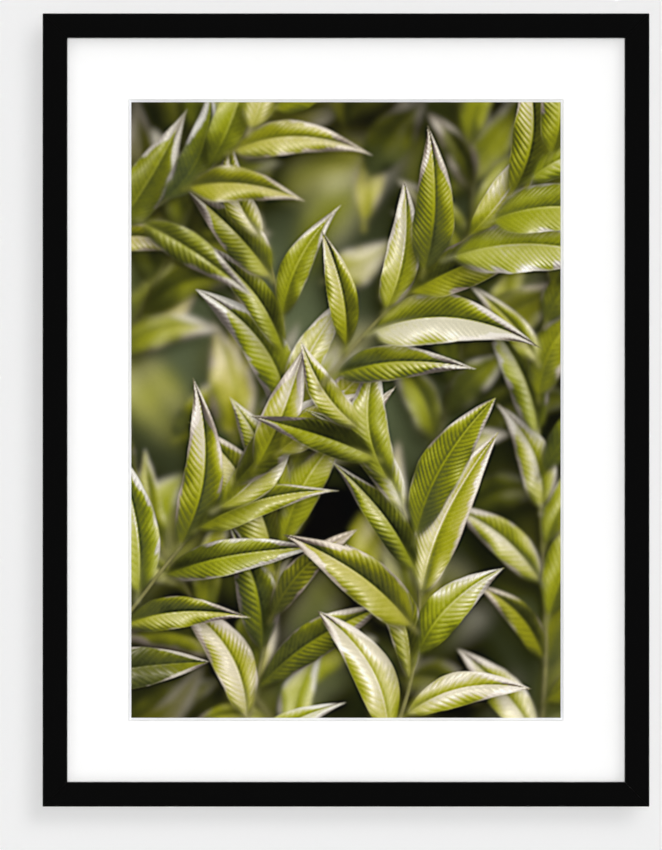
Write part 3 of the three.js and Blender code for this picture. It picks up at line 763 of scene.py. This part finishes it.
def plaster(name, shades_of_grey):
    """Matt paint with a faint unevenness, clear from behind.

    It is also clear in front, behind the frame, to lamps that shine straight on the frame's back and to
    what the steel there mirrors: no further out than half the frame's width, and no further up or down
    than half its height.
    """
    material, tree = new_material(name)
    place = add(tree, "TexCoord").outputs["Object"]
    uneven = add(tree, "TexNoise", {"Vector": place, "Scale": 1 / UNEVENNESS, "Detail": 3})
    colour = add(tree, "MixRGB", {"Fac": uneven.outputs[0], "Color1": linear(shades_of_grey[0]),
                                  "Color2": linear(shades_of_grey[1])})
    paint = add(tree, "BsdfDiffuse", {"Color": colour.outputs[0]})

    at = add(tree, "SeparateXYZ", {"Vector": place})
    out = add(tree, "Math", {0: at.outputs["X"]}, operation="ABSOLUTE")
    out = add(tree, "Math", {0: out.outputs[0], 1: frame_high.x}, operation="LESS_THAN")
    level = add(tree, "Math", {0: at.outputs["Z"], 1: frame_middle.z, 2: half_height}, operation="COMPARE")
    covered = add(tree, "Math", {0: out.outputs[0], 1: level.outputs[0]}, operation="MULTIPLY")
    ray = add(tree, "LightPath")
    direct = add(tree, "Math", {0: ray.outputs["Diffuse Depth"], 1: 0.5}, operation="LESS_THAN")
    let_by = add(tree, "Math", {0: ray.outputs["Is Shadow Ray"], 1: direct.outputs[0]}, operation="MULTIPLY")
    let_by = add(tree, "Math", {0: let_by.outputs[0], 1: ray.outputs["Is Glossy Ray"]}, operation="MAXIMUM")
    let_by = add(tree, "Math", {0: let_by.outputs[0], 1: covered.outputs[0]}, operation="MULTIPLY")
    from_behind = add(tree, "NewGeometry").outputs["Backfacing"]
    let_by = add(tree, "Math", {0: let_by.outputs[0], 1: from_behind}, operation="MAXIMUM")
    clear = add(tree, "BsdfTransparent")
    surface = add(tree, "MixShader", {0: let_by.outputs[0], 1: paint.outputs[0], 2: clear.outputs[0]})
    add(tree, "OutputMaterial", {"Surface": surface.outputs[0]})
    return material


floor_level = frame_low.z - FLOOR_DROP
wall = square("wall", (0, WALL_GAP * MM, frame_middle.z), (WALL / 2, 0, 0), (0, 0, WALL / 2))
floor = square("floor", (0, 0, floor_level), (FLOOR / 2, 0, 0), (0, FLOOR / 2, 0))
cover(wall, plaster("pale_wall_paint", ("fafafa", "fbfbfb")))
cover(floor, plaster("pale_floor_paint", ("f3f3f1", "f5f5f3")))
floor.visible_diffuse = False  # so that it throws no light back up the wall
floor.visible_glossy = False  # nor greys the black lacquer
floor.visible_shadow = False  # nor stops the low rays of the front lamp
shade = square("shade", (0, frame_low.y, frame_middle.z), (frame_high.x, 0, 0), (0, 0, half_height))
for ray in ("camera", "diffuse", "glossy", "transmission"):
    setattr(shade, "visible_" + ray, False)

# --- Light and camera -------------------------------------------------------------------------------
# Two broad lamps from the front give most of the light, and a softer one from the upper right throws the
# lip's shadow on the mat. The wall and the floor each have a lamp of their own, flagged to them. Lamps
# and softboxes above and behind light the other sides and show in the gloss.


def flag(made, kind, things, alone):
    """Flags a lamp to some things alone, or else off them alone.

    As receivers they are what it lights, and as blockers what throws its shadows.
    """
    flags = bpy.data.collections.new(f"{made.name}_{kind}")
    for thing in things:
        flags.objects.link(thing)
    for entry in flags.collection_objects:
        entry.light_linking.link_state = "INCLUDE" if alone else "EXCLUDE"
    setattr(made.light_linking, kind + "_collection", flags)


def lamp(name, towards, strength, spread, seen_in_gloss=False, only=(), never=(), shaded=False):
    """A sun lamp shining that way, its strength in W/m2; its spread in degrees softens the shadows.

    It lights everything, or only some things, or all but some. If shaded, the shade alone throws its
    shadow, and for any other lamp the shade isn't there.
    """
    light = bpy.data.lights.new(name, "SUN")
    light.energy = strength
    light.angle = radians(spread)
    made = bpy.data.objects.new(name, light)
    made.rotation_mode = "QUATERNION"
    made.rotation_quaternion = Vector(towards).to_track_quat("-Z", "Y")
    made.visible_glossy = seen_in_gloss
    bpy.context.scene.collection.objects.link(made)
    if only or never:
        flag(made, "receiver", only or never, bool(only))
    flag(made, "blocker", (shade,), shaded)


lamp("front_lamp", (0, 1, 0), 2.17, 8, never=(floor,))
lamp("surround_lamp", (0, 1, 0), 1.06, 80, never=(wall, floor))
lamp("key_lamp", (-0.66, 1, -0.74), 0.62, 58, never=(wall, floor))
lamp("wall_lamp", (-0.47, 1, -0.50), 0.645, 29, only=(wall,), shaded=True)
lamp("floor_lamp", (0, 0, -1), 2.8, 20, only=(floor,))
lamp("top_lamp", (0, 0, -1), 0.9, 6, seen_in_gloss=True, never=(floor,))
lamp("rear_lamp", (0.35, -1, -0.5), 3.4, 20, seen_in_gloss=True, never=(floor,))


def softbox(name, middle, width, height, watts):
    """A rectangular lamp facing the frame's middle, seen only in gloss."""
    light = bpy.data.lights.new(name, "AREA")
    light.shape = "RECTANGLE"
    light.size, light.size_y = width, height
    light.energy = watts
    made = bpy.data.objects.new(name, light)
    made.location = middle
    made.rotation_mode = "QUATERNION"
    made.rotation_quaternion = (frame_middle - Vector(middle)).to_track_quat("-Z", "Y")
    made.visible_diffuse = False
    bpy.context.scene.collection.objects.link(made)
    flag(made, "blocker", (shade,), False)


softbox("rear_right_softbox", (2.6, 2.6, -1.0), 2.4, 3.0, 20)
softbox("rear_left_softbox", (-2.6, 2.6, 0.6), 2.0, 2.4, 13)
softbox("strip_softbox", (-2.0, -1.9, -1.3), 0.14, 2.4, 2)

BACKDROP = 0.875  # what the camera sees past the wall's edges
ROOM = 0.05  # the dim room that everything else gets
world = bpy.data.worlds.new("studio")
bpy.context.scene.world = world
world.use_nodes = True
world.node_tree.nodes.clear()
tree = world.node_tree
seen = add(tree, "LightPath").outputs["Is Camera Ray"]
dim = add(tree, "Background", {"Color": (1, 1, 1, 1), "Strength": ROOM})
pale = add(tree, "Background", {"Color": (1, 1, 1, 1), "Strength": BACKDROP})
around = add(tree, "MixShader", {0: seen, 1: dim.outputs[0], 2: pale.outputs[0]})
add(tree, "OutputWorld", {"Surface": around.outputs[0]})

CAMERA_DISTANCE = 12.0  # m in front of the frame's face
VIEW_HEIGHT = 694.4  # mm that the view takes in at the face, top to bottom
OFF_CENTRE = (-12.25, -12.25)  # mm from the frame's middle to the view's, to the right and up
SENSOR = 36.0  # mm, the longer side
FAR = 100  # m, past everything
camera = bpy.data.cameras.new("camera")
camera.sensor_width = SENSOR
camera.lens = SENSOR * CAMERA_DISTANCE / (VIEW_HEIGHT * MM)
camera.clip_end = FAR
viewer = bpy.data.objects.new("camera", camera)
viewer.location = (OFF_CENTRE[0] * MM, frame_low.y - CAMERA_DISTANCE, frame_middle.z + OFF_CENTRE[1] * MM)
viewer.rotation_euler = (radians(90), 0, 0)
bpy.context.scene.collection.objects.link(viewer)
bpy.context.scene.camera = viewer
bpy.context.scene.view_settings.view_transform = "Standard"

boxes = {"cad": cad_box, "visual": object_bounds()}
sizes = {name: [list(corner) for corner in corners] for name, corners in boxes.items()}
